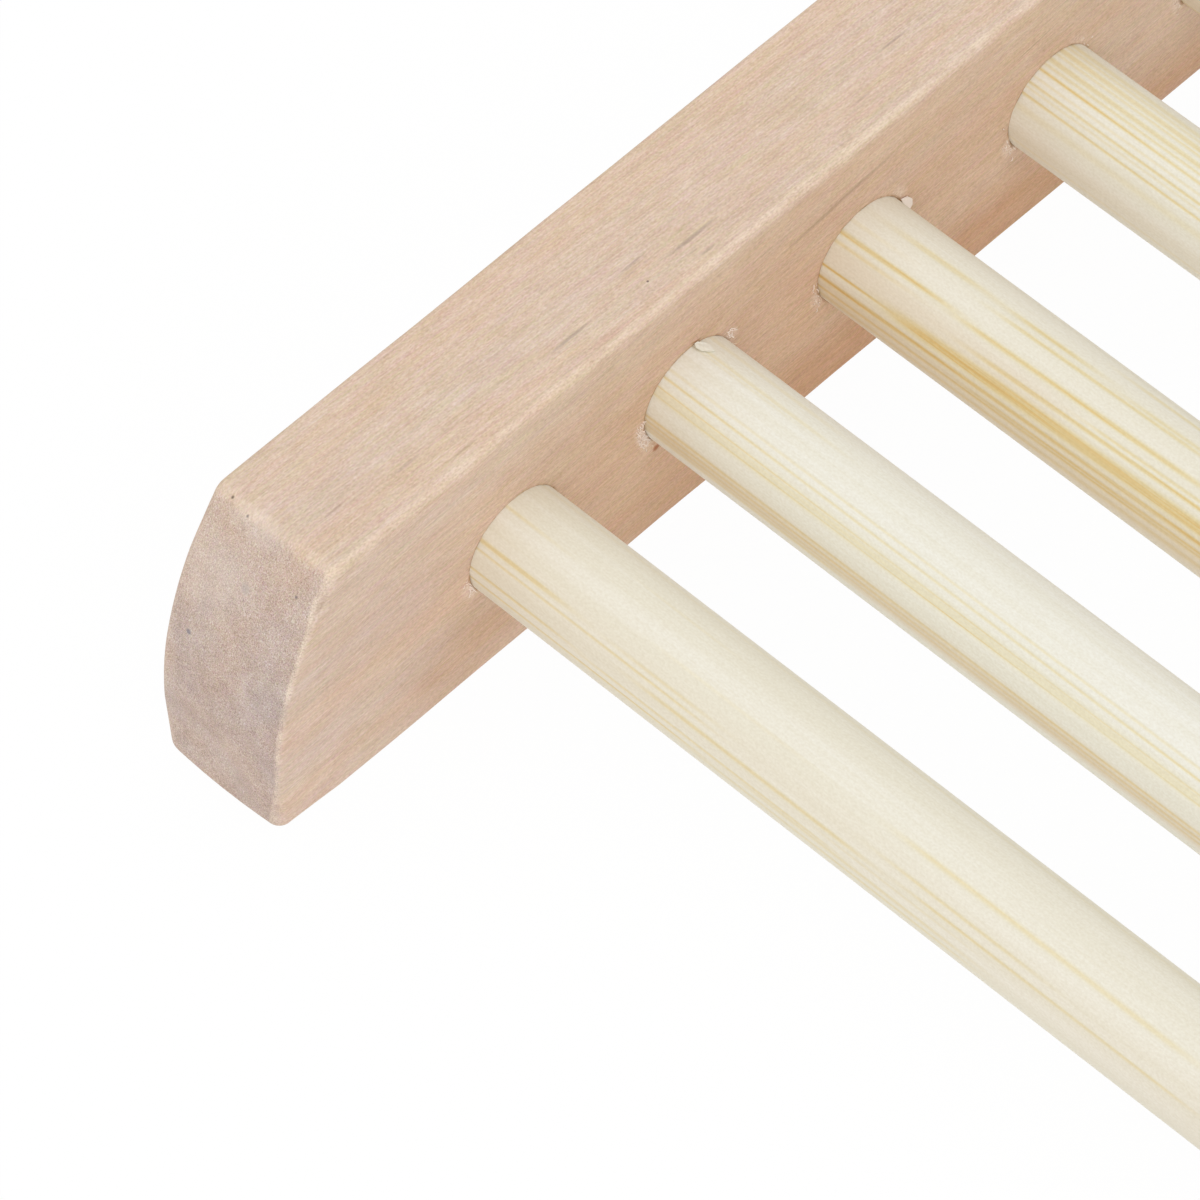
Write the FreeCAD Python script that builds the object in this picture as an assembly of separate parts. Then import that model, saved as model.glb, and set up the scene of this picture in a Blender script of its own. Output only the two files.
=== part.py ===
import FreeCAD, Part
import os
from math import sqrt
from FreeCAD import Vector

# Ladder soap dish: two wooden rails joined by a row of round bamboo dowels.
# Millimetres. X runs along the rails, Y along the dowels, Z is up.
# The origin is on the resting plane, under the middle of the dish.

# Rails: flat hardwood bars that stand on edge, with a rounded nose at each end
rail_height = 19.3
rail_thickness = 9.2
nose_setback = 5.0          # the top face stops this far short of the end
nose_start_height = 4.6     # the end stands upright up to here, then leans back in one arc
nose_top_radius = 1.4       # softened corner between the nose and the top face
nose_bottom_radius = 1.3    # softened corner between the nose and the underside
edge_radius = 0.45          # sanded along every edge of the two broad faces

# Dowels: round bamboo rods, glued into blind sockets in the rails' inner faces
dowel_count = 7
dowel_diameter = 7.0
dowel_end_chamfer = 0.5
dowel_pitch = 14.6
dowel_axis_height = 9.9
end_margin = 18.7           # from the end of a rail to the axis of the nearest dowel
clear_span = 69.8           # between the inner faces of the rails

# Sockets and the glued fit
socket_depth = 6.0
glue_clearance = 0.05       # all round the dowel
glue_floor = 0.3            # between the dowel's end and the bottom of its socket

# The sockets are drilled by eye: how far each one, counted from -X, lies from
# its place in an even row, along the rail and upwards. The others are true.
drill_drift = [
    (0.0, -0.2),
    (-0.7, 0.35),
    (-1.2, 0.1),
    (0.1, -0.25),
]

# Worked out from the sizes above
rail_length = 2 * end_margin + (dowel_count - 1) * dowel_pitch
rail_end = rail_length / 2
inner_face = clear_span / 2
socket_radius = dowel_diameter / 2 + glue_clearance
dowel_end = inner_face + socket_depth - glue_floor


def axis_place(number):
    """Where the axis of one dowel, counted from 0 at -X, crosses the XZ plane."""
    drift_along, drift_up = drill_drift[number] if number < len(drill_drift) else (0.0, 0.0)
    along = -rail_end + end_margin + number * dowel_pitch + drift_along
    return Vector(along, 0, dowel_axis_height + drift_up)


def nose_arc(side):
    """Arc of the nose at one end, from its upright foot to the top face."""
    rise = rail_height - nose_start_height
    radius = (rise ** 2 + nose_setback ** 2) / (2 * nose_setback)
    half_rise = rise / 2
    half_setback = radius - sqrt(radius ** 2 - half_rise ** 2)
    foot = Vector(side * rail_end, 0, nose_start_height)
    middle = Vector(side * (rail_end - half_setback), 0, nose_start_height + half_rise)
    head = Vector(side * (rail_end - nose_setback), 0, rail_height)
    return foot, head, Part.Arc(foot, middle, head).toShape()


def rail_blank():
    """One rail before drilling, its thickness running from Y = 0 to +Y."""
    left_toe = Vector(-rail_end, 0, 0)
    right_toe = Vector(rail_end, 0, 0)
    left_foot, left_head, left_nose = nose_arc(-1)
    right_foot, right_head, right_nose = nose_arc(1)
    outline = Part.Wire([
        Part.LineSegment(left_toe, right_toe).toShape(),
        Part.LineSegment(right_toe, right_foot).toShape(),
        right_nose,
        Part.LineSegment(right_head, left_head).toShape(),
        left_nose,
        Part.LineSegment(left_foot, left_toe).toShape(),
    ])
    bar = Part.Face(outline).extrude(Vector(0, rail_thickness, 0))

    def cross_edges(x, z):
        corner = Vector(x, rail_thickness / 2, z)
        return [edge for edge in bar.Edges if edge.CenterOfMass.isEqual(corner, 1e-6)]

    for radius, x, z in [
        (nose_top_radius, rail_end - nose_setback, rail_height),
        (nose_bottom_radius, rail_end, 0),
    ]:
        for side in (-1, 1):
            bar = bar.makeFillet(radius, cross_edges(side * x, z))

    broad_faces = [face for face in bar.Faces if abs(face.normalAt(0, 0).y) > 0.999]
    return bar.makeFillet(edge_radius, [edge for face in broad_faces for edge in face.Edges])


def socket_cutter(number):
    """Drill for one blind socket, from the inner face at Y = 0 towards +Y."""
    return Part.makeCylinder(socket_radius, socket_depth, axis_place(number), Vector(0, 1, 0))


def rail(side):
    """Drilled rail on the +Y or -Y side of the dish."""
    drilled = rail_blank().cut([socket_cutter(number) for number in range(dowel_count)])
    drilled.translate(Vector(0, inner_face, 0))
    if side < 0:
        drilled = drilled.mirror(Vector(0, 0, 0), Vector(0, 1, 0))
    return drilled


def dowel(number):
    """One dowel, its chamfered ends sunk into the sockets of both rails."""
    start = axis_place(number) - Vector(0, dowel_end, 0)
    rod = Part.makeCylinder(dowel_diameter / 2, 2 * dowel_end, start, Vector(0, 1, 0))
    rims = [edge for edge in rod.Edges if abs(abs(edge.CenterOfMass.y) - dowel_end) < 1e-6]
    return rod.makeChamfer(dowel_end_chamfer, rims)


nodes = {
    "rear_rail": rail(1),
    "front_rail": rail(-1),
}
for number in range(dowel_count):
    nodes[f"dowel_{number + 1}"] = dowel(number)

os.makedirs("parts", exist_ok=True)
for name, shape in nodes.items():
    shape.exportStep(f"parts/{name}.step")
    box = shape.optimalBoundingBox()
    print(f"{name}: {len(shape.Solids)} solid, valid {shape.isValid()}, {shape.Volume:.1f} mm3,"
          f" {box.XLength:.2f} x {box.YLength:.2f} x {box.ZLength:.2f} mm")
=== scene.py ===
import random
from math import atan2, ceil, cos, pi, radians, sin, sqrt

import bmesh
import bpy
import numpy as np
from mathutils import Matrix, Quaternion, Vector, noise


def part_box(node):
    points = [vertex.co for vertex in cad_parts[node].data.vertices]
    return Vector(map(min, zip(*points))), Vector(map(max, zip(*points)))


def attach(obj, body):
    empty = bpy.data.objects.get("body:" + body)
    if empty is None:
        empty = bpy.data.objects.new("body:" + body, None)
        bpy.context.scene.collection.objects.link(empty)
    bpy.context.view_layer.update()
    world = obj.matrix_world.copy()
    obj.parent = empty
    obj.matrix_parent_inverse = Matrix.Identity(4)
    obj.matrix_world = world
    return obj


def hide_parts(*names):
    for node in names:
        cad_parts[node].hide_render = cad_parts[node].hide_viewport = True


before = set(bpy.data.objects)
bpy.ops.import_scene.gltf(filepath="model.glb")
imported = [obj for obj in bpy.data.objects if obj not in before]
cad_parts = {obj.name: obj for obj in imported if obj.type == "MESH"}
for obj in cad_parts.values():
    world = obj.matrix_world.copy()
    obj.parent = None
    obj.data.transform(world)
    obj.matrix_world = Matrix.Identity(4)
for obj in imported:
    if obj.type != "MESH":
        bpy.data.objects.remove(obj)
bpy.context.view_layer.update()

# Rails
# Two flat bars of pale hardwood that stand on edge, sawn, rounded at the ends on a belt sander
# and drilled by hand with a row of blind sockets. The wood is bare: no oil, no varnish.
mm = 0.001                  # sizes are written in millimetres, and the model is in metres
rail_low, rail_high = (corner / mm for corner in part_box("rear_rail"))
rail_end = rail_high.x
rail_height = rail_high.z
rail_thickness = rail_high.y - rail_low.y
inner = rail_low.y          # the inner faces lie this far to each side of the middle
nose_setback = 5.0          # the top face stops this far short of the end
nose_start_height = 4.6     # the end stands upright up to here, then leans back in one arc
nose_top_radius = 1.4
nose_bottom_radius = 0.8
nose_crown = 0.22           # the sander leaves the middle of the end this much proud of its sides
edge_radius = 0.45          # sanded along the top and the underside
# Heights on the nose, from its toe to its head, and the radii of its two edges there, which are
# rounder at the corners and sharper between them
nose_edge_heights = [0.0, 0.8, 2.5, 9.0, 15.5, 17.3]
inner_nose_radii = [0.9, 0.8, 0.28, 0.20, 0.22, 0.52]
outer_nose_radii = [1.1, 1.1, 0.60, 0.30, 0.30, 0.45]
edge_blend = 4.0            # length of run over which one radius passes into the other
edge_unevenness = 0.3       # share by which hand sanding varies the radius
edge_wander = 7.0           # length along the edge over which it varies
# How pale the sanding rubbed the edges, from 0 to 1: along the bar, more on the nose above its toe,
# and the share of it on the outer side; and how pale a band of painted light is drawn across the head
# of the nose, where it turns up towards the light. What counts as nose, as head and as end grain goes
# by how far a place faces along the bar: 0 on the top, 1 on the upright end.
edge_rub = 0.6
nose_rub, nose_facing = 0.25, 0.5
toe_height = 3.0
head_painted_light, head_facing, head_spread = 0.3, 0.4, 0.35
outer_rub = 0.3
end_grain_from, end_grain_span = 0.55, 0.45
socket_radius = 3.55
socket_depth = 6.0
glue_lip = 3.51             # glue fills the mouth of a socket to within this radius,
glue_touch = 3.46           # and wets the dowel just below its edge
most_glue = 0.8             # how far it hides the wood there, from 0 to 1
ragged_reach = 0.5          # the drill left the wood ragged as far out from a socket as this,
mouth_rag = 0.02            # by this much,
mouth_burr = 0.02           # and with a burr as high as this
coarse_tears = 6            # it is torn in two patterns, with so many swings in a socket's radius
fine_tears = 22
dowel_names = sorted(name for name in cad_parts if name.startswith("dowel"))
dowel_places = {}
for name in dowel_names:
    low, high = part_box(name)
    dowel_places[name] = (low + high) / 2 / mm

# Where the drill broke more wood out of the mouth of a rear socket than its own circle:
# the angle from the top towards +X, how far it spreads, both in degrees, and how deep it goes.
broken_mouths = {
    "dowel_1": [(-112, 16, 0.05)],
    "dowel_2": [(-108, 25, 0.10), (62, 14, 0.05)],
    "dowel_3": [(-112, 14, 0.045), (54, 14, 0.03)],
    "dowel_4": [(-115, 16, 0.05), (38, 20, 0.03)],
}
usual_break = [(-112, 16, 0.05)]
front_break = [(-100, 18, 0.05)]


def arc_points(centre, radius, start, stop, steps):
    """Points of an arc in the XZ plane, with the direction that each faces."""
    points = []
    for step in range(steps + 1):
        angle = start + (stop - start) * step / steps
        facing = Vector((cos(angle), sin(angle)))
        points.append((Vector(centre) + facing * radius, facing))
    return points


def rail_outline():
    """Side view of a rail as (point, facing), anticlockwise from the foot of the +X end."""
    run_step = 2.0
    corner_steps = 10
    nose_steps = 28
    rise = rail_height - nose_start_height
    nose_radius = (rise ** 2 + nose_setback ** 2) / (2 * nose_setback)
    nose_centre = (rail_end - nose_radius, nose_start_height)
    head_height = rail_height - nose_top_radius - nose_start_height
    head_reach = sqrt((nose_radius - nose_top_radius) ** 2 - head_height ** 2)
    head_angle = atan2(head_height, head_reach)
    head_centre = (nose_centre[0] + head_reach, rail_height - nose_top_radius)
    toe_centre = (rail_end - nose_bottom_radius, nose_bottom_radius)
    end = arc_points(toe_centre, nose_bottom_radius, -pi / 2, 0, corner_steps)
    end += arc_points(nose_centre, nose_radius, 0, head_angle, nose_steps)
    end += arc_points(head_centre, nose_top_radius, head_angle, pi / 2, corner_steps)[1:]
    other_end = [(Vector((-p.x, p.y)), Vector((-n.x, n.y))) for p, n in reversed(end)]

    def run(half_length, height, facing):
        steps = ceil(2 * half_length / run_step)
        places = [half_length * (1 - 2 * step / steps) for step in range(1, steps)]
        return [(Vector((-facing * x, height)), Vector((0, -facing))) for x in places]

    upper_run = run(head_centre[0], rail_height, -1)
    lower_run = run(toe_centre[0], 0, 1)
    return end + upper_run + other_end + lower_run


def edge_at(point, nose_radii):
    """Radius of the sanded edge at one point of the outline."""
    on_nose = np.interp(point.y, nose_edge_heights, nose_radii)
    nose_length = nose_setback + nose_top_radius
    if point.y < rail_height / 2:
        nose_length = nose_bottom_radius
    along_run = (rail_end - abs(point.x) - nose_length) / edge_blend
    return on_nose + (edge_radius - on_nose) * min(1.0, max(0.0, along_run))


def drawn_in(point, facing, inset, crown):
    """Point of the outline moved inwards by the inset, and back from the end by the crown."""
    side = 1 if point.x > 0 else -1
    slack = 1e-6                # the points where the toe begins and ends belong to it
    least_toe_radius = 0.02
    toe_corner = Vector((side * rail_end, 0))
    short_of_toe = abs(point.x) < rail_end - nose_bottom_radius - slack
    if short_of_toe or point.y > nose_bottom_radius + slack:
        return point - facing * inset - Vector((side * crown * facing.x ** 2, 0))
    toe_radius = max(nose_bottom_radius - inset, least_toe_radius)
    toe_centre = toe_corner + Vector((-side, 1)) * (inset + toe_radius)
    return toe_centre + facing * toe_radius - Vector((side * crown, 0))


def mouth_break(breaks, angle):
    """How far the broken edge of a socket's mouth lies outside its circle at one angle."""
    depth = 0.0
    for middle, spread, most in breaks:
        off = (angle - middle + 180) % 360 - 180
        depth = max(depth, most * (1 - (off / spread) ** 2))
    return depth


def rail_mesh(name, side):
    """One rail, its inner face towards the dowels, on the +Y (side 1) or -Y (side -1) side."""
    round_steps = 8
    lip_sides = 120
    support = 0.08              # narrow flat band that keeps the shading of the broad faces flat
    bm = bmesh.new()
    marked = [bm.verts.layers.float.new(key) for key in ("end_grain", "pale_edge_and_head_light", "torn", "gluey")]

    def vert(x, y, z, end=0.0, edge=0.0, tear=0.0, glue=0.0):
        made = bm.verts.new((x * mm, side * y * mm, z * mm))
        for layer, value in zip(marked, (end, edge, tear, glue)):
            made[layer] = value
        return made

    def bridge(first, second):
        count = len(first)
        for k in range(count):
            corners = (first[k], first[(k + 1) % count], second[(k + 1) % count], second[k])
            bm.faces.new(corners).smooth = True

    # The skin: one loop of points for each step round the inner edge, across the bar and round the
    # outer edge
    outline = rail_outline()
    loops = []
    turns = [step / round_steps * pi / 2 for step in range(round_steps + 1)]
    across = [0.02, 0.1, 0.3, 0.5, 0.7, 0.9, 0.98]      # shares of the flat between the edges
    for loop in range(2 * len(turns) + len(across) + 2):
        row = []
        for point, facing in outline:
            wander = Vector((point.x, 0, point.y)) / edge_wander
            radii = []
            for face, nose_radii in enumerate((inner_nose_radii, outer_nose_radii)):
                own_swing = 40 * side + 9 * face        # so that no two edges vary alike
                swing = noise.noise(wander + Vector((0, own_swing, 0)))
                radii.append(edge_at(point, nose_radii) * (1 + edge_unevenness * swing))
            inner_radius, outer_radius = radii
            upright = abs(facing.x)
            above_toe = min(1.0, point.y / toe_height)
            arris_wear = edge_rub + nose_rub * min(1.0, upright / nose_facing) * above_toe
            # Painted light: a pale band across the head of the nose, where it turns up towards the
            # light
            head_painted_light_share = 0.0
            if point.y > rail_height / 2:
                off_head = (upright - head_facing) / head_spread
                head_painted_light_share = head_painted_light * max(0.0, 1 - off_head ** 2)
            turn = loop - 1
            edge = 0.0
            roll = 0.0          # 0 on a broad face, 1 where the edge has turned away from it
            if loop == 0:
                depth = 0.0
                inset = inner_radius + support
            elif turn < len(turns):
                depth = inner_radius * (1 - cos(turns[turn]))
                inset = inner_radius * (1 - sin(turns[turn]))
                roll = sin(turns[turn]) ** 2
                edge = max(arris_wear, head_painted_light_share) * roll
            elif turn < len(turns) + len(across):
                flat = rail_thickness - inner_radius - outer_radius
                depth = inner_radius + flat * across[turn - len(turns)]
                inset = 0.0
                roll = 1.0
                edge = head_painted_light_share
            elif turn < 2 * len(turns) + len(across):
                back_turn = turns[2 * len(turns) + len(across) - 1 - turn]
                depth = rail_thickness - outer_radius * (1 - cos(back_turn))
                inset = outer_radius * (1 - sin(back_turn))
                roll = sin(back_turn) ** 2
                edge = outer_rub * arris_wear * roll
            else:
                depth = rail_thickness
                inset = outer_radius + support
            crown = nose_crown * (2 * depth / rail_thickness - 1) ** 2
            place = drawn_in(point, facing, inset, crown)
            end = roll * min(1.0, max(0.0, (upright - end_grain_from) / end_grain_span))
            row.append(vert(place.x, inner + depth, place.y, end, edge))
        loops.append(row)
    for first, second in zip(loops, loops[1:]):
        bridge(first, second)
    bm.faces.new(loops[-1]).smooth = False

    # The sockets: a slightly raised, broken mouth, a lip of glue, then a plain bore with a flat
    # floor. Each ring has a radius, a share of the burr and a depth below the face.
    rims = []
    for dowel_name, centre in dowel_places.items():
        breaks = front_break
        if side > 0:
            breaks = broken_mouths.get(dowel_name, usual_break)
        own_tears = Vector((centre.x, 20 * side, 0))    # so that no two mouths are torn alike
        rings = []
        for reach, burr, sink in [
            (socket_radius + 1.3, 0.0, 0.0),
            (socket_radius + 0.9, 0.25, 0.0),
            (socket_radius + 0.6, 0.6, 0.0),
            (socket_radius + 0.3, 0.9, 0.0),
            (socket_radius + 0.1, 1.0, 0.0),
            (glue_lip, 1.0, 0.0),
            (glue_touch, 0.0, 0.05),
            (glue_lip, 0.0, 0.8),
            (socket_radius, 0.0, 1.2),
            (socket_radius, 0.0, socket_depth),
        ]:
            ring = []
            for k in range(lip_sides):
                angle = 360 * k / lip_sides
                about = Vector((sin(radians(angle)), 0, cos(radians(angle))))
                rough = noise.noise(about * coarse_tears + own_tears)
                fine = noise.noise(about * fine_tears + own_tears + Vector((0, 0, 5)))
                tear = mouth_break(breaks, angle)
                away = reach
                if sink == 0 and reach < socket_radius + ragged_reach:
                    away += (max(0.0, mouth_rag + 0.05 * rough + 0.02 * fine)
                             + tear * (1 + 0.4 * fine))
                lift = burr * (max(0.0, mouth_burr + 0.04 * rough) + 0.5 * tear * (1 + 0.8 * fine))
                pale = min(1.0, 12 * tear * (1 + fine) + 0.2 * max(0.0, rough))
                pale *= min(1.0, max(0.0, 2 * burr - 0.6))
                glue = 0.0
                if reach < socket_radius:
                    glue = min(most_glue, max(0.0, 0.2 + 1.2 * rough + 0.8 * fine))
                ring.append(vert(centre.x + about.x * away, inner + sink - lift,
                                 centre.z + about.z * away, tear=pale, glue=glue))
            rings.append(ring)
        for first, second in zip(rings, rings[1:]):
            bridge(first, second)
        bm.faces.new(rings[-1]).smooth = False
        rims.append(rings[0])

    # The inner face, flat between the rounded edge and the mouths
    edges = []
    for ring in [loops[0], *rims]:
        for k in range(len(ring)):
            edges.append(bm.edges.get((ring[k], ring[(k + 1) % len(ring)])))
    flat = bmesh.ops.triangle_fill(bm, use_beauty=True, edges=edges, normal=(0, -side, 0))
    for item in flat["geom"]:
        if isinstance(item, bmesh.types.BMFace):
            item.smooth = False
    bmesh.ops.recalc_face_normals(bm, faces=bm.faces)
    mesh = bpy.data.meshes.new(name)
    bm.to_mesh(mesh)
    bm.free()
    return mesh


def colour(code):
    """Linear RGBA of an sRGB hex colour."""
    channels = [int(code[place:place + 2], 16) / 255 for place in (1, 3, 5)]
    return [c / 12.92 if c <= 0.04045 else ((c + 0.055) / 1.055) ** 2.4 for c in channels] + [1.0]


def add(tree, kind, inputs=None, stops=(), **settings):
    """Adds one node with its settings, its ramp's stops and its inputs, values or outputs."""
    node = tree.nodes.new(kind)
    for key, value in settings.items():
        setattr(node, key, value)
    for key, value in (inputs or {}).items():
        if isinstance(value, bpy.types.NodeSocket):
            tree.links.new(value, node.inputs[key])
        else:
            node.inputs[key].default_value = value
    if stops:
        elements = node.color_ramp.elements
        while len(elements) < len(stops):
            elements.new(0.5)
        for element, (position, code) in zip(elements, stops):
            element.position = position
            element.color = colour(code)
    return node


def bare_material(name):
    """New material and its emptied node tree."""
    material = bpy.data.materials.new(name)
    material.use_nodes = True
    material.node_tree.nodes.clear()
    return material, material.node_tree


# Marks of the rear rail that stand out from its grain, and two spots of painted light on the head of
# its
# nose: middle, half length along the grain, half width across it on the face, slope in degrees,
# colour and how strongly it shows.
top = rail_height
marks_and_painted_light = [
    ((-37.0, 37.15, top), 1.9, 0.14, 0, "#8F7F78", 0.40),
    ((-30.8, 38.30, top), 1.3, 0.10, 2, "#8F7F78", 0.32),
    ((-54.3, 38.10, top), 1.0, 0.12, 0, "#9A8170", 0.34),
    ((-49.4, 37.45, top), 1.2, 0.14, 0, "#A08A86", 0.30),
    ((-46.6, 35.95, top), 1.2, 0.12, 0, "#9A8170", 0.34),
    ((-27.2, 37.20, top), 2.3, 0.18, 0, "#8F7F78", 0.42),
    ((-27.3, 35.95, top), 0.8, 0.10, 0, "#8F7F78", 0.34),
    ((-9.3, 38.80, top), 1.6, 0.12, 1, "#8F7F78", 0.38),
    ((-13.5, 37.20, top), 1.0, 0.12, 0, "#8F7F78", 0.26),
    ((-31.2, 36.80, top), 0.10, 0.09, 0, "#5A4446", 0.80),
    ((-17.6, inner, 15.85), 6.0, 0.28, 5.7, "#80695C", 0.28),
    ((-1.5, inner, 15.60), 2.4, 0.09, 7.0, "#80695C", 0.35),
    ((-57.45, 42.76, 19.14), 0.16, 0.12, 0, "#4A3426", 0.80),
    ((-57.72, 41.36, 18.98), 0.16, 0.11, 0, "#45383A", 0.80),
    ((-58.86, 36.55, 17.23), 0.18, 0.13, 0, "#6A5E62", 0.70),
    ((-61.50, 42.43, 11.19), 0.32, 0.24, 0, "#7E7C88", 0.70),
    ((-59.69, 39.65, 15.90), 0.50, 0.45, 0, "#A89E9C", 0.40),
    ((-60.75, 41.92, 13.50), 0.40, 0.25, 0, "#A08C80", 0.35),
    ((-62.0, 36.30, 10.50), 1.5, 1.80, 0, "#9A9492", 0.12),
    ((-58.55, 35.06, 17.42), 1.00, 0.22, 50, "#8A6650", 0.45),
    # The next two spots are painted light: the head of the nose drawn paler where it turns up towards
    # the light
    ((-57.7, 40.60, 18.90), 0.9, 2.40, 0, "#F7EFE8", 0.18),          # painted light on the head of the nose
    ((-59.9, 41.90, 15.30), 2.8, 3.40, 0, "#F7EFE8", 0.15),
    ((-32.45, inner, 7.26), 0.36, 0.32, 20, "#A8653A", 0.90),        # drop of glue
    ((-29.30, inner, 13.95), 0.50, 0.10, -12, "#A9754C", 0.70),
]
# Thin washes over its inner face, with the same values, which tint the wood and let its grain show.
# Some are painted shade and painted warm bounce light: round the mouths, along the lower edge and
# below the first dowel.
washes_and_painted_shade = [
    ((-24.0, inner, 8.0), 38.0, 12.0, 0, "#FDF3EA", 1.0),            # warmer round the mouths: the wood's own tone and painted warm light bounced off the dowels
    ((-14.0, inner, 13.0), 46.0, 6.0, 0, "#FCF9F6", 1.0),
    ((-4.0, inner, 0.5), 40.0, 6.0, 0, "#F6E7DB", 1.0),              # painted shade and painted warm bounce light along the lower edge
    # painted soft shadow of the first dowel, below it towards the -X end
    ((-48.5, inner, 3.5), 6.0, 4.5, 0, "#F4F0EE", 1.0),
    ((-56.0, inner, 8.0), 11.0, 14.0, 0, "#F7F8FD", 1.0),
]


def sanded_schima():
    """Schima, a pale hardwood with fine scattered pores, sanded and left bare. The eye sees short
    flecks along the grain, faint warm bands, a few grey streaks, and a greyer, speckled end."""
    material, tree = bare_material("sanded_schima")
    run_out = radians(2.0)      # the grain isn't quite parallel to the sawn bar
    place = add(tree, "ShaderNodeTexCoord").outputs["Object"]
    grain = add(tree, "ShaderNodeMapping",
                {"Vector": place, "Rotation": (0, run_out, run_out)}).outputs[0]

    # Sizes of the pattern in millimetres, along the grain and across it. The wood's own fibres and
    # pores are finer than a picture can hold, so fibre, fleck and pore are drawn as coarse as needed.
    pattern = {}
    for name, along, across, detail in [
        ("band", 60, 3.0, 1.0),
        ("streak", 9, 0.4, 2.0),
        ("fibre", 2.4, 0.11, 1.0),
        ("fleck", 0.21, 0.10, 2.0),
        ("mottle", 2.6, 1.3, 2.0),
        ("pore", 0.3, 0.06, 0.0),
    ]:
        scale = [1 / (along * mm), 1 / (across * mm), 1 / (across * mm)]
        spread = add(tree, "ShaderNodeMapping", {"Vector": grain, "Scale": scale}).outputs[0]
        pattern[name] = add(tree, "ShaderNodeTexNoise",
                            {"Vector": spread, "Scale": 1.0, "Detail": detail})
    fleck = pattern["fleck"].outputs["Fac"]
    mottle = pattern["mottle"].outputs["Fac"]

    # Layers over the plain tone of the wood, from the lowest up: share, colour and kind of blend
    tone = add(tree, "ShaderNodeValToRGB", {"Fac": pattern["band"].outputs["Fac"]},
               [(0.35, "#EBDBCD"), (0.65, "#EDD9C7")]).outputs[0]
    layers = []
    for name, stops in [
        ("streak", [(0.30, "#FBF8F5"), (0.70, "#FFFFFF")]),
        ("fibre", [(0.25, "#F3ECE5"), (0.75, "#FFFFFF")]),
        ("fleck", [(0.25, "#E9E0D7"), (0.75, "#FFFFFF")]),
        ("mottle", [(0.35, "#FBF8F5"), (0.65, "#FFFFFF")]),
    ]:
        tint = add(tree, "ShaderNodeValToRGB", {"Fac": pattern[name].outputs["Fac"]}, stops)
        layers.append((1.0, tint.outputs[0], "MULTIPLY"))
    for name, share in [("fleck", 0.13), ("fibre", 0.11), ("streak", 0.08)]:
        layers.append((share, pattern[name].outputs["Color"], "OVERLAY"))

    # The end grain, greyer, with open pores where it faces straight along the bar. Map Range takes
    # a value (0), the range that it has (1 and 2) and the range that it gets (3 and 4).
    end = add(tree, "ShaderNodeAttribute", attribute_name="end_grain").outputs["Fac"]
    end_tint = add(tree, "ShaderNodeValToRGB", {"Fac": mottle},
                   [(0.30, "#E2E4EF"), (0.70, "#EFF1F9")]).outputs[0]
    layers.append((end, end_tint, "MULTIPLY"))
    turned = add(tree, "ShaderNodeNewGeometry").outputs["True Normal"]
    turned = add(tree, "ShaderNodeSeparateXYZ", {0: turned}).outputs["X"]
    turned = add(tree, "ShaderNodeMath", {0: turned}, operation="ABSOLUTE").outputs[0]
    pores = add(tree, "ShaderNodeMapRange", {0: turned, 1: 0.45, 2: 0.9, 3: 0.0, 4: 0.6}).outputs[0]
    layers.append((pores, pattern["pore"].outputs["Fac"], "OVERLAY"))

    # Each mark and each wash is a soft spot
    for spots, kind in [(marks_and_painted_light, "MIX"), (washes_and_painted_shade, "MULTIPLY")]:
        for middle, half_length, half_width, slope, code, strength in spots:
            stretched = add(tree, "ShaderNodeMapping",
                            {"Vector": place, "Location": Vector(middle) * mm,
                             "Rotation": (0, -radians(slope), 0),
                             "Scale": (half_length * mm, half_width * mm, half_width * mm)},
                            vector_type="TEXTURE").outputs[0]
            spot = add(tree, "ShaderNodeTexGradient", {"Vector": stretched},
                       gradient_type="SPHERICAL").outputs["Fac"]
            share = add(tree, "ShaderNodeMapRange",
                        {0: spot, 1: 0.0, 2: 0.6, 3: 0.0, 4: strength}).outputs[0]
            layers.append((share, colour(code), kind))

    # Edges rubbed pale in patches, with the painted light across the head of the nose in the same
    # layer, torn wood round the mouths, and glue in them
    pale_edge_and_head_light = add(tree, "ShaderNodeAttribute", attribute_name="pale_edge_and_head_light").outputs["Fac"]
    rubbed_and_lit = add(tree, "ShaderNodeMapRange", {0: fleck, 1: 0.25, 2: 0.75, 3: 0.2, 4: 1.0}).outputs[0]
    rubbed_and_lit = add(tree, "ShaderNodeMath", {0: pale_edge_and_head_light, 1: rubbed_and_lit}, operation="MULTIPLY").outputs[0]
    patchy = add(tree, "ShaderNodeMapRange",
                 {0: mottle, 1: 0.35, 2: 0.65, 3: 0.4, 4: 1.0}).outputs[0]
    rubbed_and_lit = add(tree, "ShaderNodeMath", {0: rubbed_and_lit, 1: patchy}, operation="MULTIPLY").outputs[0]
    layers.append((rubbed_and_lit, colour("#F6E3CB"), "MIX"))
    torn = add(tree, "ShaderNodeAttribute", attribute_name="torn").outputs["Fac"]
    ripped = add(tree, "ShaderNodeMapRange", {0: fleck, 1: 0.3, 2: 0.7, 3: 0.2, 4: 1.0}).outputs[0]
    ripped = add(tree, "ShaderNodeMath", {0: torn, 1: ripped}, operation="MULTIPLY").outputs[0]
    layers.append((ripped, colour("#F7E9DF"), "MIX"))
    gluey = add(tree, "ShaderNodeAttribute", attribute_name="gluey").outputs["Fac"]
    layers.append((gluey, colour("#A88058"), "MIX"))

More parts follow.
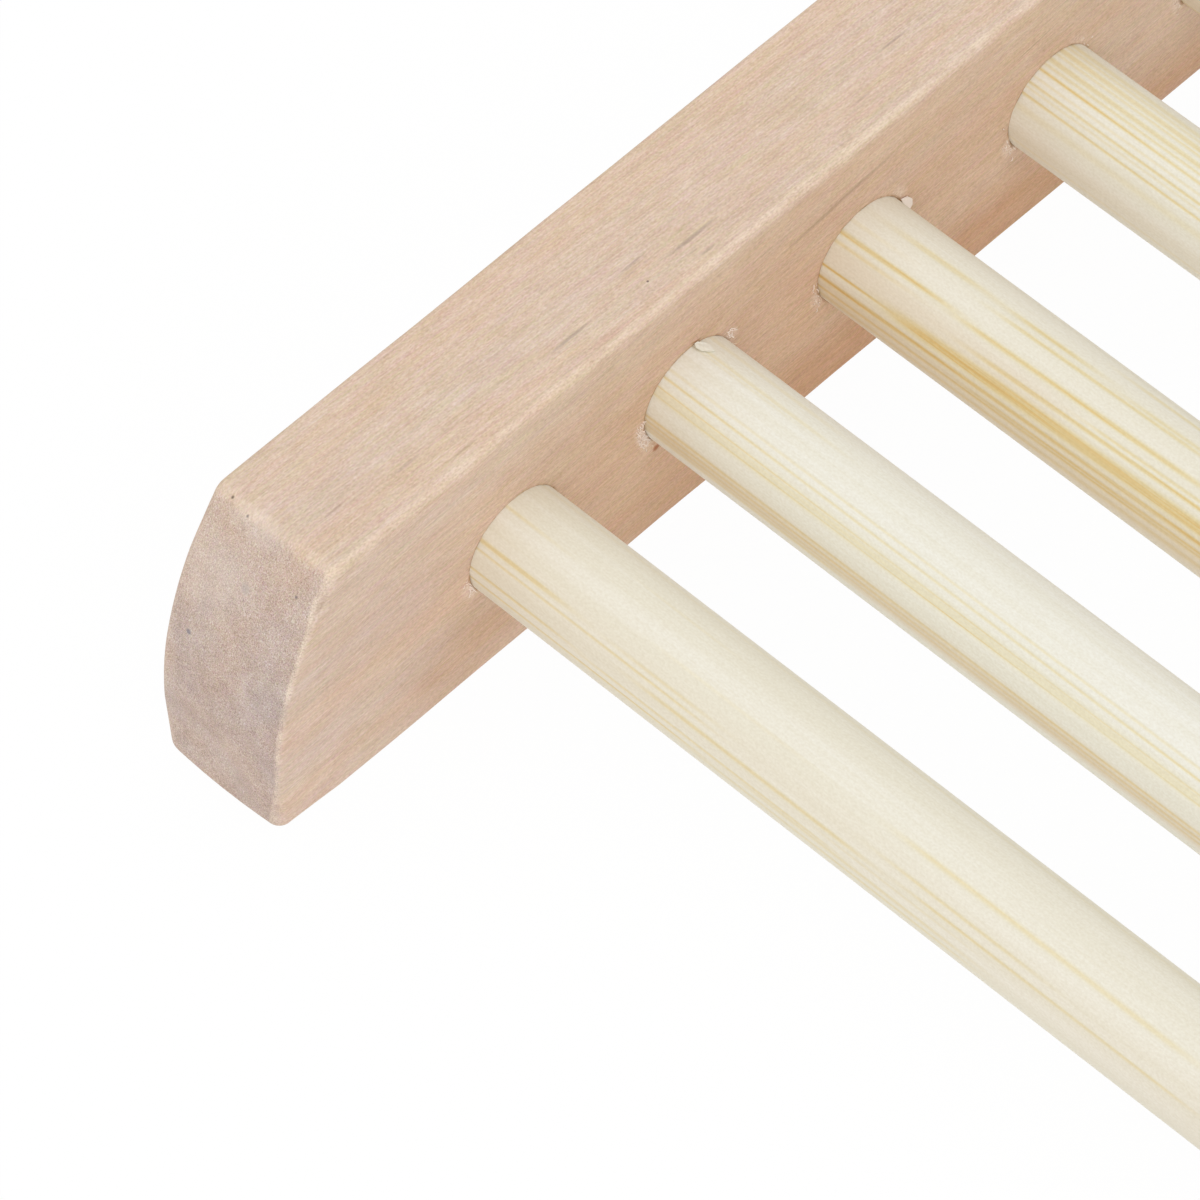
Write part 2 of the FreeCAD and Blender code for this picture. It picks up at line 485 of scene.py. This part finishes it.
    # The colours of a Mix node are its inputs 6 and 7 and its output 2
    for share, over, kind in layers:
        tone = add(tree, "ShaderNodeMix", {0: share, 6: tone, 7: over},
                   data_type="RGBA", blend_type=kind).outputs[2]
    bump = add(tree, "ShaderNodeBump",
               {"Height": fleck, "Strength": 0.3, "Distance": 0.02 * mm}).outputs[0]
    rough = add(tree, "ShaderNodeMapRange", {0: fleck, 3: 0.66, 4: 0.82}).outputs[0]
    shader = add(tree, "ShaderNodeBsdfPrincipled",
                 {"Base Color": tone, "Roughness": rough, "Normal": bump, "IOR": 1.45,
                  "Specular IOR Level": 0.3}).outputs[0]
    add(tree, "ShaderNodeOutputMaterial", {"Surface": shader})
    return material


schima = sanded_schima()
for node, side in [("rear_rail", 1), ("front_rail", -1)]:
    rail = bpy.data.objects.new(node + "_sanded", rail_mesh(node + "_sanded", side))
    bpy.context.collection.objects.link(rail)
    rail.data.materials.append(schima)
    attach(rail, "root")
    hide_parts(node)

# Dowels
# Seven round rods turned from split bamboo, with chamfered ends glued into the sockets.
# Cream ground tissue shows between the cut vascular bundles, which run along the rod as ochre lines.
dowel_radius = 3.5
dowel_chamfer = 0.5
dowel_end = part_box("dowel_1")[1].y / mm
bundle_groove = 0.03        # the cutter pulls a little out of the bundles, so they lie slightly sunk
out_of_round = 0.015
visible_from, visible_to = -118, 58     # angles of the side that shows in the photograph

# The bundles that show on each dowel: angle from the top towards +X and width, both in degrees,
# where it comes to the surface and leaves it, in millimetres from the rear rail, and how dark it is.
bundles = {
    "dowel_1": [
        (-93, 3, -6, 20, 0.68), (-97, 4, 14, 40, 0.50), (-80, 3, -6, 10, 0.74),
        (-83, 3, 6, 30, 0.58), (-87, 4, 18, 40, 0.46), (-67, 4, 10, 32, 0.58),
        (-65, 3, 30, 55, 0.62), (-74, 2, 24, 39, 0.40), (-57.5, 2.5, -6, 20, 0.66),
        (-48.5, 4, -6, 9, 0.70), (-50, 3, 8, 20, 0.50), (-53, 3, 28, 44, 0.54),
        (-28, 5, 28, 54, 0.50), (-27, 3, 10, 26, 0.24), (-9.5, 3, -6, 6, 0.50),
        (12.5, 2.5, 7, 18, 0.32), (41, 4, -6, 76, 0.22),
    ],
    "dowel_2": [
        (-78, 3, -6, 76, 0.62), (-84, 3, -6, 76, 0.58), (-90, 3, -6, 76, 0.50),
        (-96, 5, -6, 18, 0.50), (-49, 11, -6, 76, 0.44), (-53, 2, -6, 76, 0.72),
        (-45, 2, -6, 76, 0.68), (-34.5, 2.5, -6, 76, 0.62), (-26, 2.5, -6, 76, 0.48),
        (11, 4, -6, 13, 0.42), (6, 2, -6, 10, 0.32), (31, 6, -6, 12, 0.36),
    ],
    "dowel_3": [
        (-92, 4, -6, 76, 0.68), (-79, 5, -6, 76, 0.80), (-88, 4, 8, 76, 0.70),
        (-104, 6, -6, 76, 0.52), (-65, 3, -6, 8, 0.86), (-66, 12, 2, 76, 0.85),
        (-70, 3, 4, 76, 0.76), (-51, 4, 8, 76, 0.78), (-45, 3, 16, 76, 0.60),
        (-29, 4.5, -6, 11, 0.80), (-33, 5, 6, 30, 0.74), (-38.5, 3.5, -6, 8, 0.56),
        (4, 6, 0, 12, 0.60), (2.5, 5, 8, 20, 0.66), (-8, 4, 8, 29, 0.68),
        (-3, 4, 17, 34, 0.58), (20.5, 5, 16, 30, 0.52), (-14, 4, -6, 6, 0.32),
    ],
    "dowel_4": [
        (-99, 4, -6, 76, 0.36), (-58, 6, -6, 76, 0.34), (-45, 2.5, -6, 76, 0.76),
        (-38, 2, -6, 76, 0.44), (-33, 2.5, -6, 76, 0.78), (-26, 2.5, -6, 76, 0.48),
        (-17, 3.5, -6, 76, 0.70), (-10, 3, -6, 76, 0.58), (-3, 5, -6, 76, 0.68),
        (6, 3.5, -6, 76, 0.58), (13, 7, -6, 76, 0.66), (22, 5, -6, 76, 0.52),
        (30, 8, -6, 76, 0.50),
    ],
}
# Wide bands of the same kind, a pinker tan, on the side that faces down and towards -X: partly the
# rod's own tan where it was cut nearer to the bark, and partly painted warm shade on its underside.
tan_and_shade_bands = {
    "dowel_1": [(-70, 55, -6, 76, 0.16)],
    "dowel_2": [(-87, 19, -6, 76, 0.62)],
    "dowel_3": [(-99, 44, -6, 76, 0.62), (-52, 24, -6, 20, 0.34)],
    "dowel_4": [(-88, 26, -6, 76, 0.22)],
}
usual_tan_and_shade = [(-100, 40, -6, 76, 0.5)]
fibre_twist = {"dowel_3": 0.45}     # degrees by which the fibres turn round the rod in a millimetre
cream_warmth = {"dowel_1": 0.7, "dowel_2": 0.15, "dowel_3": 0.75, "dowel_4": 0.3}
usual_warmth = 0.4
# Bundles made up for each dowel, of which those on the seen side of the first four are left out
made_up_bundles = 34
bundle_starts = (-20, 50)
bundle_lengths = (15, 90)
bundle_widths = (2, 2, 3, 4, 6)
bundle_strengths = (0.2, 0.75)
# A line fades out across this share of its width, comes and goes over this length, and wavers in
# strength by this share over this length
line_half_width = 0.62
line_fade = 5
line_waver = 0.15
waver_length = 9


def all_bundles(name, chance):
    """The bundles seen on a dowel, and made-up ones of the same kind on the sides not seen."""
    seen = bundles.get(name, [])
    lines = list(seen)
    for number in range(made_up_bundles):
        angle = chance.uniform(-180, 180)
        start = chance.uniform(*bundle_starts)
        stop = start + chance.uniform(*bundle_lengths)
        width = chance.choice(bundle_widths)
        line = (angle, width, start, stop, chance.uniform(*bundle_strengths))
        if not seen or not visible_from < angle < visible_to:
            lines.append(line)
    return lines


def fibre_strength(lines, twist, angles, along):
    """How strongly a bundle shows at each place of the unrolled dowel, from 0 to 1."""
    shown = np.zeros((len(along), len(angles)))
    for angle, width, start, stop, strength in lines:
        off = (angles[None, :] - angle - twist * along[:, None] + 180) % 360 - 180
        across = np.exp(-np.abs(off / (line_half_width * width)) ** 3)
        rise = np.clip((along - start) / line_fade, 0, 1)
        fall = np.clip((stop - along) / line_fade, 0, 1)
        ends = (rise * rise * (3 - 2 * rise)) * (fall * fall * (3 - 2 * fall))
        waver = np.array([noise.noise((place / waver_length, angle, 3.0)) for place in along])
        lengthwise = ends * (1 + line_waver * waver)
        shown = np.maximum(shown, strength * across * lengthwise[:, None])
    return np.clip(shown, 0, 1)


def dowel_mesh(node, place):
    """One rod with its fibre lines: rings from end to end, the outer two drawn in by the chamfer."""
    around = 360
    ring_step = 1.6
    angles = np.arange(around) * 360 / around - 180
    half = dowel_end - dowel_chamfer
    steps = ceil(2 * half / ring_step)
    ys = np.concatenate(([dowel_end], np.linspace(half, -half, steps + 1), [-dowel_end]))
    twist = fibre_twist.get(node, 0.0)
    lines = all_bundles(node, random.Random(node))
    shown = fibre_strength(lines, twist, angles, inner - ys)
    # The rod's own tan together with painted warm shade on its lower side
    tan = fibre_strength(tan_and_shade_bands.get(node, usual_tan_and_shade), twist, angles, inner - ys)
    warmth = np.full(shown.shape, cream_warmth.get(node, usual_warmth))
    oval = np.array([noise.noise((cos(radians(a)), sin(radians(a)), place.x)) for a in angles])
    radius = dowel_radius + out_of_round * (oval[None, :] - 1) - bundle_groove * shown
    radius[0] -= dowel_chamfer
    radius[-1] -= dowel_chamfer
    turn = np.radians(angles)[None, :]
    x = place.x + radius * np.sin(turn)
    z = place.z + radius * np.cos(turn)
    y = place.y + np.repeat(ys[:, None], around, axis=1)
    points = np.stack([x, y, z], axis=-1).reshape(-1, 3) * mm
    faces = []
    for ring in range(len(ys) - 1):
        for k in range(around):
            here = ring * around + k
            beside = ring * around + (k + 1) % around
            faces.append((here, beside, beside + around, here + around))
    last = (len(ys) - 1) * around
    faces.append(tuple(range(around - 1, -1, -1)))
    faces.append(tuple(range(last, last + around)))
    mesh = bpy.data.meshes.new(node + "_turned")
    mesh.from_pydata(points.tolist(), [], faces)
    mesh.polygons.foreach_set("use_smooth", [True] * (len(faces) - 2) + [False] * 2)
    for key, values in [("fibre", shown), ("tan", tan), ("warmth", warmth)]:
        mesh.attributes.new(key, "FLOAT", "POINT").data.foreach_set("value", values.ravel())
    mesh.update()
    return mesh


def turned_bamboo():
    """Split bamboo turned to a rod and left bare. The eye sees a matt cream ground with a soft sheen,
    hair-fine fibres along the rod, and ochre to brown lines where the turning cut the bundles."""
    material, tree = bare_material("turned_bamboo")
    place = add(tree, "ShaderNodeTexCoord").outputs["Object"]

    # Sizes of the pattern in millimetres, along the rod and across it. Bamboo's own fibres are
    # finer than a picture can hold, so hair and dust are drawn as coarse as needed.
    pattern = {}
    for name, along, across, detail in [
        ("hair", 14, 0.12, 2.0),
        ("band", 45, 0.9, 1.0),
        ("dust", 0.2, 0.12, 1.0),
    ]:
        scale = [1 / (across * mm), 1 / (along * mm), 1 / (across * mm)]
        spread = add(tree, "ShaderNodeMapping", {"Vector": place, "Scale": scale}).outputs[0]
        pattern[name] = add(tree, "ShaderNodeTexNoise",
                            {"Vector": spread, "Scale": 1.0, "Detail": detail}).outputs["Fac"]
    hair = pattern["hair"]

    warmth = add(tree, "ShaderNodeAttribute", attribute_name="warmth").outputs["Fac"]
    tone = add(tree, "ShaderNodeMix", {0: warmth, 6: colour("#F4F3EB"), 7: colour("#EEE9DA")},
               data_type="RGBA").outputs[2]
    fibre = add(tree, "ShaderNodeAttribute", attribute_name="fibre").outputs["Fac"]
    broken = add(tree, "ShaderNodeMapRange", {0: hair, 1: 0.25, 2: 0.75, 3: 0.7, 4: 1.15}).outputs[0]
    fibre = add(tree, "ShaderNodeMath", {0: fibre, 1: broken},
                operation="MULTIPLY", use_clamp=True).outputs[0]
    # Partly the rod's own tan, partly painted warm shade on its lower side
    lower_tan_and_shade = add(tree, "ShaderNodeAttribute", attribute_name="tan").outputs["Fac"]
    for source, stops in [
        (hair, [(0.30, "#FCFBF8"), (0.70, "#FFFFFF")]),
        (pattern["band"], [(0.35, "#FBFAF6"), (0.65, "#FFFFFF")]),
        (pattern["dust"], [(0.25, "#F6F4F0"), (0.75, "#FFFFFF")]),
        (fibre, [(0.0, "#FFFFFF"), (0.30, "#FDFAF0"), (0.50, "#FBF4DC"), (0.70, "#F7E8BE"),
                 (0.85, "#F2D597"), (1.0, "#DAB174")]),
        (lower_tan_and_shade, [(0.0, "#FFFFFF"), (1.0, "#F3E2D1")]),
    ]:
        tint = add(tree, "ShaderNodeValToRGB", {"Fac": source}, stops).outputs[0]
        tone = add(tree, "ShaderNodeMix", {0: 1.0, 6: tone, 7: tint},
                   data_type="RGBA", blend_type="MULTIPLY").outputs[2]
    bump = add(tree, "ShaderNodeBump",
               {"Height": hair, "Strength": 0.25, "Distance": 0.02 * mm}).outputs[0]
    rough = add(tree, "ShaderNodeMapRange", {0: hair, 3: 0.50, 4: 0.64}).outputs[0]
    shader = add(tree, "ShaderNodeBsdfPrincipled",
                 {"Base Color": tone, "Roughness": rough, "Normal": bump, "IOR": 1.48,
                  "Specular IOR Level": 0.35}).outputs[0]
    add(tree, "ShaderNodeOutputMaterial", {"Surface": shader})
    return material


bamboo = turned_bamboo()
for node, place in dowel_places.items():
    dowel = bpy.data.objects.new(node + "_turned", dowel_mesh(node, place))
    bpy.context.collection.objects.link(dowel)
    dowel.data.materials.append(bamboo)
    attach(dowel, "root")
    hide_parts(node)

# Torn fibres
# Slivers of the rails' own wood that the drill tore up round the mouths of the sockets, still held at
# one end, a flake of it beside the third dowel, and a strip that peeled off the second as it went in.
sliver_width = (0.04, 0.09)
sliver_bend = 0.15          # share of its length by which a sliver bows off the face
tuft_gap = 0.06             # slivers start this far outside a socket,
tuft_band = 0.6             # in a band as wide as this
tufts = [
    # Rail side, dowel, angle from the top towards +X, spread, both in degrees, how many, how long
    (1, "dowel_1", -110, 16, 14, 0.50),
    (1, "dowel_2", -105, 20, 110, 0.32),
    (1, "dowel_2", 58, 16, 14, 0.45),
    (1, "dowel_3", -108, 22, 14, 0.45),
    (1, "dowel_4", -112, 20, 14, 0.45),
    (1, "dowel_4", 52, 10, 5, 0.30),
]
for name in dowel_names[4:]:
    tufts.append((1, name, -110, 18, 10, 0.45))
for name in dowel_names:
    tufts.append((-1, name, -105, 20, 11, 0.45))


def add_sliver(bm, root, middle, tip, width):
    """Closed three-sided needle, bent at its middle."""
    along = (tip - root).normalized()
    aside = along.orthogonal() * width / 2
    rings = []
    for place, share in [(root, 1.0), (middle, 0.8)]:
        turns = [Quaternion(along, radians(120 * k)) for k in range(3)]
        rings.append([bm.verts.new((place + share * (turn @ aside)) * mm) for turn in turns])
    point = bm.verts.new(tip * mm)
    bm.faces.new(list(reversed(rings[0])))
    for k in range(3):
        beside = (k + 1) % 3
        bm.faces.new((rings[0][k], rings[0][beside], rings[1][beside], rings[1][k]))
        bm.faces.new((rings[1][k], rings[1][beside], point))


def add_plate(bm, front, back):
    """Closed thin plate between two outlines with the same number of points."""
    rings = [[bm.verts.new(place * mm) for place in outline] for outline in (front, back)]
    count = len(front)
    bm.faces.new(rings[0])
    bm.faces.new(list(reversed(rings[1])))
    for k in range(count):
        beside = (k + 1) % count
        bm.faces.new((rings[0][beside], rings[0][k], rings[1][k], rings[1][beside]))


def finished(bm, name, material):
    """Object on the dish made of a finished mesh."""
    bmesh.ops.recalc_face_normals(bm, faces=bm.faces)
    mesh = bpy.data.meshes.new(name)
    bm.to_mesh(mesh)
    bm.free()
    mesh.materials.append(material)
    made = bpy.data.objects.new(name, mesh)
    bpy.context.collection.objects.link(made)
    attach(made, "root")


def bare_fibre():
    """Freshly torn wood: paler and pinker than the sanded faces, and quite matt."""
    material, tree = bare_material("torn_schima")
    shader = add(tree, "ShaderNodeBsdfPrincipled",
                 {"Base Color": colour("#F8EBE1"), "Roughness": 0.9,
                  "Specular IOR Level": 0.2}).outputs[0]
    add(tree, "ShaderNodeOutputMaterial", {"Surface": shader})
    return material


chance = random.Random("torn fibres")
fuzz = bmesh.new()
for side, name, angle, spread, count, length in tufts:
    centre = dowel_places[name]
    for number in range(count):
        turn = radians(chance.gauss(angle, spread / 2))
        out = Vector((sin(turn), 0, cos(turn)))
        round_mouth = Vector((cos(turn), 0, -sin(turn)))
        face = Vector((0, -side, 0))
        root = Vector((centre.x, side * inner, centre.z))
        root += out * (socket_radius + tuft_gap + chance.random() ** 2 * tuft_band)
        lean = round_mouth * chance.uniform(-1, 1)
        lean += out * chance.uniform(-0.3, 1)
        lean += face * chance.uniform(0.1, 0.5)
        reach = lean.normalized() * length * chance.uniform(0.4, 1.0)
        bend = face * sliver_bend * length + out * chance.uniform(-0.1, 0.1) * length
        middle = root + reach * 0.5 + bend
        add_sliver(fuzz, root, middle, root + reach, chance.uniform(*sliver_width))

# The flake: angle round the third socket and distance from its middle for each corner
flake_lift = 0.10
flake_thickness = 0.08
flake = []
centre = dowel_places["dowel_3"]
for angle, away in [(62, 3.60), (76, 3.58), (86, 3.58), (88, 3.90),
                    (84, 4.16), (77, 4.22), (69, 4.02)]:
    turn = radians(angle)
    flake.append(Vector((centre.x + away * sin(turn), inner - flake_lift,
                         centre.z + away * cos(turn))))
add_plate(fuzz, [corner - Vector((0, flake_thickness, 0)) for corner in flake], flake)
finished(fuzz, "torn_fibres", bare_fibre())

# The peeled strip: a leaf that lies along the second dowel and lifts towards the rail
peel_angle = 8              # degrees from the top towards +X,
peel_drift = 8              # and how far it drifts round from there
peel_length = 1.0
peel_start = 0.08           # it stops this far short of the rail,
peel_gap = 0.02             # and lies this far off the dowel
peel_width = 6              # degrees to each side of its middle
peel_lift = 0.16
peel_thickness = 0.05
leaf = []
centre = dowel_places["dowel_2"]
for along, aside in [(0.0, 0.35), (0.25, 0.9), (0.55, 1.0), (0.85, 0.5), (1.0, 0.0),
                     (0.85, -0.6), (0.5, -1.0), (0.2, -0.8), (0.0, -0.3)]:
    turn = radians(peel_angle + aside * peel_width + peel_drift * along)
    away = dowel_radius + peel_gap + peel_lift * (1 - along) ** 2
    out = Vector((sin(turn), 0, cos(turn)))
    leaf.append((out, away, inner - peel_start - along * peel_length))
strip = bmesh.new()
sheets = []
for extra in (peel_thickness, 0.0):
    sheets.append([Vector((centre.x, y, centre.z)) + out * (away + extra) for out, away, y in leaf])
add_plate(strip, *sheets)
finished(strip, "peeled_strip", bamboo)

# Floor
# A pale acrylic table, lit faintly from below so that the undersides of the dowels don't go dark.
# The camera sees it as plain white with a trace of the shadow left.
floor_size = 6.0
table_glow = 0.34
shadow_share = 0.05
floor_mesh = bpy.data.meshes.new("floor")
half_floor = floor_size / 2
floor_corners = [(-half_floor, -half_floor, 0), (half_floor, -half_floor, 0),
                 (half_floor, half_floor, 0), (-half_floor, half_floor, 0)]
floor_mesh.from_pydata(floor_corners, [], [(0, 1, 2, 3)])
floor = bpy.data.objects.new("floor", floor_mesh)
bpy.context.collection.objects.link(floor)


def white_acrylic():
    """Matt pale acrylic with a faint light behind it. Lens and gloss see it as white."""
    material, tree = bare_material("white_acrylic")
    path = add(tree, "ShaderNodeLightPath")
    seen = path.outputs["Is Camera Ray"]
    for ray in ("Is Glossy Ray", "Is Transmission Ray"):
        seen = add(tree, "ShaderNodeMath", {0: seen, 1: path.outputs[ray]},
                   operation="MAXIMUM").outputs[0]
    seen = add(tree, "ShaderNodeMath", {0: seen, 1: 1 - shadow_share},
               operation="MULTIPLY").outputs[0]
    sheet = add(tree, "ShaderNodeBsdfDiffuse", {"Color": colour("#D4D4D4")}).outputs[0]
    glow = add(tree, "ShaderNodeEmission",
               {"Color": colour("#FFFFFF"), "Strength": table_glow}).outputs[0]
    lit_sheet = add(tree, "ShaderNodeAddShader", {0: sheet, 1: glow}).outputs[0]
    white = add(tree, "ShaderNodeEmission", {"Color": colour("#FFFFFF"), "Strength": 1.0}).outputs[0]
    shader = add(tree, "ShaderNodeMixShader", {0: seen, 1: lit_sheet, 2: white}).outputs[0]
    add(tree, "ShaderNodeOutputMaterial", {"Surface": shader})
    return material


floor_mesh.materials.append(white_acrylic())

# Light
# A white tent, brighter overhead than round its walls, with a large soft box in front and another
# high on the left.
world = bpy.data.worlds.new("white_tent")
bpy.context.scene.world = world
world.use_nodes = True
sky = world.node_tree
sky.nodes.clear()
wall_light = 0.55
roof_light = 1.05
path = add(sky, "ShaderNodeLightPath")
towards = add(sky, "ShaderNodeTexCoord").outputs["Generated"]
height = add(sky, "ShaderNodeSeparateXYZ", {0: towards}).outputs["Z"]
tent = add(sky, "ShaderNodeMapRange", {0: height, 3: wall_light, 4: roof_light}).outputs[0]
strength = add(sky, "ShaderNodeMix", {0: path.outputs["Is Camera Ray"], 2: tent, 3: 1.0}).outputs[0]
background = add(sky, "ShaderNodeBackground",
                 {"Color": colour("#FFFFFF"), "Strength": strength}).outputs[0]
add(sky, "ShaderNodeOutputWorld", {"Surface": background})

box_size = 0.9
box_distance = 1.1
# Each box's share of the light on a face that is turned to it
for name, direction, share in [
    ("soft_box_front", (-0.3, -0.85, 0.45), 0.14),
    ("soft_box_left", (-0.6, -0.35, 0.75), 0.15),
]:
    towards = Vector(direction).normalized()
    soft_box = bpy.data.objects.new(name, bpy.data.lights.new(name, "AREA"))
    bpy.context.collection.objects.link(soft_box)
    soft_box.data.size = box_size
    soft_box.data.energy = share * pi ** 2 * box_distance ** 2
    soft_box.location = towards * box_distance
    soft_box.rotation_euler = towards.to_track_quat("Z", "Y").to_euler()
    soft_box.visible_camera = False

# Camera
# A long lens close above the corner of the dish, from the -X end and from the dowels' side.
azimuth = radians(-46.134)
elevation = radians(53.329)
looks_at = Vector((-36.963, 34.9, -2.674)) * mm
distance = 536.5 * mm
back = Vector((sin(azimuth) * cos(elevation), -cos(azimuth) * cos(elevation), sin(elevation)))
camera = bpy.data.objects.new("camera", bpy.data.cameras.new("camera"))
bpy.context.collection.objects.link(camera)
camera.data.sensor_width = 36
camera.data.lens = 285
camera.location = looks_at + back * distance
camera.rotation_euler = (-back).to_track_quat("-Z", "Y").to_euler()
bpy.context.scene.camera = camera
bpy.context.scene.view_settings.view_transform = "Standard"
